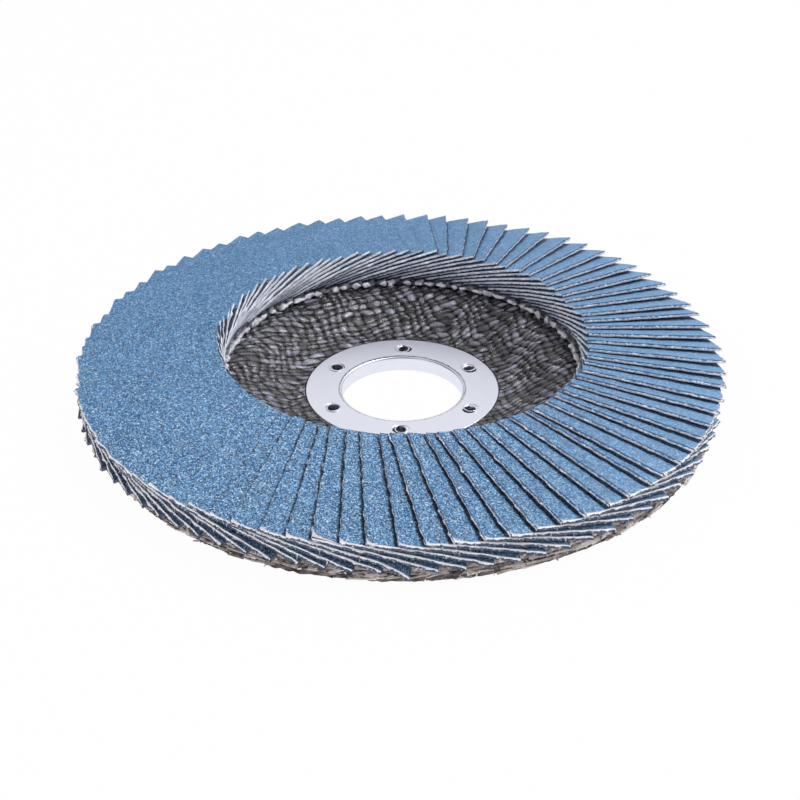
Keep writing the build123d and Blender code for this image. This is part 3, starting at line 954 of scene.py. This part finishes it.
def makeAdhesive():
    adhesive = makeAdhesiveMaterial()
    bedMaterial = makeBedMaterial()
    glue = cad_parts["adhesive_bed"].data
    glue.materials.clear()
    glue.materials.append(bedMaterial)
    random = np.random.RandomState(3)
    rings, segments = 9, 14
    points, quads = [], []
    for index in range(flap["count"]):
        tilt = np.linspace(0.02, math.pi - 0.02, rings)
        turn = np.arange(segments) * 2 * math.pi / segments
        a, b = np.meshgrid(tilt, turn, indexing="ij")
        middle = flap["startAngle"] + math.degrees(flapPitch) * index + bead["turn"]
        middle += random.normal(0, bead["turnScatter"])
        squeezed = 1.0
        for side, more in bead["squeezed"]:
            squeezed += more * max(0.0, facing(middle, side)) ** 3
        size = random.uniform(*bead["size"], 3) * [bead["long"] * squeezed, bead["deep"], bead["high"]]
        along = np.cos(a) * size[0]
        across = np.sin(a) * np.cos(b) * size[1]
        up = np.sin(a) * np.sin(b) * size[2]
        lump = 1 + bead["lumps"] * softNoise(random, along, across + up, 1.1)
        r = bead["radius"] + random.normal(0, 0.1)
        x = r + across * lump
        y = along * lump
        z = rimFront(bead["radius"]) + bead["lift"] + up * lump
        shape = turned(np.stack([x, y, z], -1).reshape(-1, 3), middle)
        quads.append(gridQuads(rings, segments, closed=True, start=index * rings * segments))
        points.append(shape)
    points, quads = np.concatenate(points), np.concatenate(quads)
    piece = makePiece("adhesiveBeads", points, [quads, noTriangles], [adhesive], smoothAngle=80)
    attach(piece, "root")


makeAdhesive()
print("adhesive: made")


# ---- hub ----

steel = {
    "colour": "#E8EBF6",
    "speck": "#8C8783",
    # the line at the joint: a stain, and painted shade of the gap
    "stain": "#6E5F58",
    "joint": 11.62,          # mm from the axis
    "stainWidth": 0.16,
}


def makeSteelMaterial():
    # zinc-plated pressed steel: light grey, satin, with faint rolling marks and specks
    material, tree, place = startMaterial("zincPlatedSteel")
    stretch = addNode(tree, "VectorMath", {"operation": "MULTIPLY", 0: place, 1: (0.25, 2.2, 1.0)})
    rolled = addNode(tree, "TexNoise", {"Vector": stretch, "Scale": 1.0, "Detail": 5.0, "Roughness": 0.7})
    specks = addNode(tree, "TexNoise", {"Vector": place, "Scale": 1.6, "Detail": 6.0, "Roughness": 0.8})
    gloss = addNode(tree, "MapRange", {"Value": rolled.outputs["Fac"], "From Min": 0.3, "From Max": 0.7,
                                       "To Min": 0.28, "To Max": 0.42})
    tone = addNode(tree, "ValToRGB", {"Fac": specks.outputs["Fac"]},
                   stops=[(0.27, steel["speck"]), (0.35, steel["colour"])])
    # a thin dark brown line where the sleeve is pressed into the washer: a stain, and painted shade in the
    # gap between them
    flat = addNode(tree, "VectorMath", {"operation": "MULTIPLY", 0: place, 1: (1, 1, 0)})
    reach = addNode(tree, "VectorMath", {"operation": "LENGTH", 0: flat})
    fromJoint = addNode(tree, "Math", {"operation": "COMPARE", 0: reach.outputs["Value"],
                                       1: steel["joint"], 2: steel["stainWidth"]})
    patchy = addNode(tree, "MapRange", {"Value": specks.outputs["Fac"], "From Min": 0.46,
                                        "From Max": 0.62, "To Min": 0.15, "To Max": 0.85})
    stained = addNode(tree, "Math", {"operation": "MULTIPLY", 0: fromJoint, 1: patchy})
    colour = addNode(tree, "MixRGB", {"Fac": stained, "Color1": tone.outputs["Color"],
                                      "Color2": linear(steel["stain"])})
    return endMaterial(material, {"Base Color": colour, "Metallic": 1.0, "Roughness": gloss},
                       rolled.outputs["Fac"], 0.08, 0.05)


zincSteel = makeSteelMaterial()
for node in ("hub_washer", "hub_sleeve"):
    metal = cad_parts[node].data
    metal.materials.clear()
    metal.materials.append(zincSteel)

punch = {
    "count": 6,
    "circle": 14.25,         # mm, radius of the circle the holes lie on
    "firstAngle": 90,        # degrees
    "radius": 1.28,
    "burr": 0.13,            # mm, radius of the turned-up lip round each hole
}


def makePunchedLips():
    # the punched edge of each small hole, turned up into a thin burr that catches the light
    random = np.random.RandomState(5)
    around, across = 28, 8  # points round the hole and round the burr
    points, quads = [], []
    for index in range(punch["count"]):
        a, b = np.meshgrid(np.arange(around) * 2 * math.pi / around,
                           np.arange(across) * 2 * math.pi / across, indexing="ij")
        burr = punch["burr"] * (1 + 0.3 * softNoise(random, np.cos(a), np.sin(a), 1.6))
        r = punch["radius"] + burr * np.cos(b)
        centre = math.radians(punch["firstAngle"] + 360 / punch["count"] * index)
        x = punch["circle"] * math.cos(centre) + r * np.cos(a)
        y = punch["circle"] * math.sin(centre) + r * np.sin(a)
        z = disc["hubTop"] + burr * np.sin(b)
        count = index * around * across
        ring = gridQuads(around, across, closed=True, start=count)
        last, first = count + (around - 1) * across + np.arange(across), count + np.arange(across)
        quads += [ring, np.stack([last, np.roll(last, -1), np.roll(first, -1), first], -1)]
        points.append(np.stack([x, y, z], -1).reshape(-1, 3))
    points, quads = np.concatenate(points), np.concatenate(quads)
    piece = makePiece("punchedLips", points, [quads, noTriangles], [zincSteel])
    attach(piece, "root")


makePunchedLips()
print("hub: dressed")


# ---- floor, light and camera ----

studio = {
    "floorSize": 6.0,        # m
    "floorGlow": 1.6,        # how brightly the lit white floor shines back on the object
    "keyPower": 3.7,         # W
    "keySize": 0.3,          # m
    "keyPlace": (0.46, 0.06, 0.8),
    "sidePower": 0.8,
    "sidePlace": (-0.45, -0.5, 0.6),
    "skyFrom": (0.15, 0.15, 0.97),
    "skyLimits": (-0.5, 0.9),
    "skyDark": 0.36,
    "skyBright": 0.6,
    "mirrorFrom": (0.45, 1, 0.25),
    "mirrorLimits": (-0.2, 0.58),
    "mirrorDark": 0.05,
    "mirrorBright": 0.93,
}


def makeFloor():
    # white paper: shown as white with a trace of shadow, and bright enough to light what faces it
    material, tree = startMaterial("whitePaperFloor")[:2]
    paper = addNode(tree, "BsdfDiffuse", {"Color": (0.85, 0.85, 0.85, 1)})
    shown = addNode(tree, "Emission", {"Color": (1, 1, 1, 1), "Strength": 1.0})
    bright = addNode(tree, "Emission", {"Color": (1, 1, 1, 1), "Strength": studio["floorGlow"]})
    rays = addNode(tree, "LightPath")
    seen = addNode(tree, "Math", {"operation": "MAXIMUM", 0: rays.outputs["Is Camera Ray"],
                                  1: rays.outputs["Is Glossy Ray"]})
    white = addNode(tree, "MixShader", {0: 0.975, 1: paper, 2: shown})
    lit = addNode(tree, "MixShader", {0: 0.75, 1: paper, 2: bright})
    mix = addNode(tree, "MixShader", {0: seen, 1: lit, 2: white})
    addNode(tree, "OutputMaterial", {"Surface": mix})
    half = studio["floorSize"] / 2
    mesh = bpy.data.meshes.new("floor")
    corners = [(-half, -half, 0), (half, -half, 0), (half, half, 0), (-half, half, 0)]
    mesh.from_pydata(corners, [], [(0, 1, 2, 3)])
    mesh.materials.append(material)
    floor = bpy.data.objects.new("floor", mesh)
    bpy.context.scene.collection.objects.link(floor)


def makeSky(tree, direction, towards, limits, dark, bright):
    # strength over the dome: dark at the first limit and bright at the second, along `towards`
    along = addNode(tree, "VectorMath", {"operation": "DOT_PRODUCT", 0: direction, 1: towards})
    return addNode(tree, "MapRange", {"interpolation_type": "SMOOTHSTEP",
                                      "Value": along.outputs["Value"], "From Min": limits[0],
                                      "From Max": limits[1], "To Min": dark, "To Max": bright})


def makeSoftbox(name, place, power):
    light = bpy.data.lights.new(name, "AREA")
    light.shape = "SQUARE"
    light.size = studio["keySize"]
    light.energy = power
    lamp = bpy.data.objects.new(name, light)
    lamp.location = place
    lamp.rotation_mode = "QUATERNION"
    lamp.rotation_quaternion = lamp.location.to_track_quat("Z", "Y")
    bpy.context.scene.collection.objects.link(lamp)


def makeLight():
    # a soft dome, brightest above and to the right, darker where the camera stands
    world = bpy.data.worlds.new("studio")
    bpy.context.scene.world = world
    world.use_nodes = True
    tree = world.node_tree
    tree.nodes.clear()
    rays = addNode(tree, "LightPath")
    where = addNode(tree, "TexCoord")
    dome = makeSky(tree, where.outputs["Generated"], studio["skyFrom"], studio["skyLimits"],
                   studio["skyDark"], studio["skyBright"])
    mirror = makeSky(tree, where.outputs["Generated"], studio["mirrorFrom"], studio["mirrorLimits"],
                     studio["mirrorDark"], studio["mirrorBright"])
    soft = addNode(tree, "Background", {"Color": (1, 1, 1, 1), "Strength": dome})
    shiny = addNode(tree, "Background", {"Color": (1, 1, 1, 1), "Strength": mirror})
    plain = addNode(tree, "Background", {"Color": (1, 1, 1, 1), "Strength": 1.0})
    lit = addNode(tree, "MixShader", {0: rays.outputs["Is Glossy Ray"], 1: soft, 2: shiny})
    mix = addNode(tree, "MixShader", {0: rays.outputs["Is Camera Ray"], 1: lit, 2: plain})
    addNode(tree, "OutputWorld", {"Surface": mix})
    makeSoftbox("keySoftbox", studio["keyPlace"], studio["keyPower"])
    makeSoftbox("sideSoftbox", studio["sidePlace"], studio["sidePower"])


view = {
    "place": (0.0, -271.91, 167.91),     # mm
    "target": (-0.4275, -4.4238, 3.0),
    "roll": -0.177,                      # degrees
    "lens": 77.87,                       # mm
}


def makeCamera():
    data = bpy.data.cameras.new("camera")
    data.sensor_width = 36.0
    data.lens = view["lens"]
    data.clip_start = 0.01
    data.clip_end = 20.0
    camera = bpy.data.objects.new("camera", data)
    place = np.array(view["place"]) * mm
    target = np.array(view["target"]) * mm
    camera.location = place
    camera.rotation_mode = "QUATERNION"
    look = Vector(place - target).to_track_quat("Z", "Y")
    camera.rotation_quaternion = look @ Quaternion((0, 0, 1), math.radians(view["roll"]))
    bpy.context.scene.collection.objects.link(camera)
    bpy.context.scene.camera = camera


makeFloor()
makeLight()
makeCamera()
bpy.context.scene.view_settings.view_transform = "Standard"
print("floor, light and camera: made")
